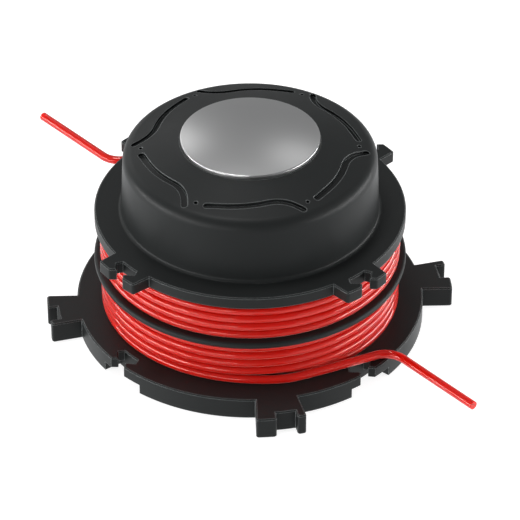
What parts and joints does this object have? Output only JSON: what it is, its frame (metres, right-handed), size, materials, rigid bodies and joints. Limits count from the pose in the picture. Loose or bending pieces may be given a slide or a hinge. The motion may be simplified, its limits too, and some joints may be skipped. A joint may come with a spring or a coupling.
{
  "type": "trimmer line spool",
  "caption": "Bump-feed trimmer line spool: a black moulded drum with toothed flanges and a domed knob, a metal wear button, and red nylon line wound in an upper and a lower chamber.",
  "frame": {"origin": "centre of the lower flange's bottom rim, on the spool's axis", "axes": "+Z along the spool's axis towards the wear button, with the lower flange at the bottom; +X to the right of the picture"},
  "size_m": [0.138, 0.129, 0.0691],
  "materials": {
    "black_nylon": "satin black moulded nylon",
    "button_metal": "satin turned aluminium",
    "red_line": "smooth red nylon monofilament"
  },
  "bodies": {
    "root": {"spool_body": "black_nylon", "wear_button": "button_metal", "lower_line_winding": "red_line", "upper_line_winding": "red_line", "lower_line_tail": "red_line", "upper_line_tail": "red_line"}
  },
  "joints": []
}
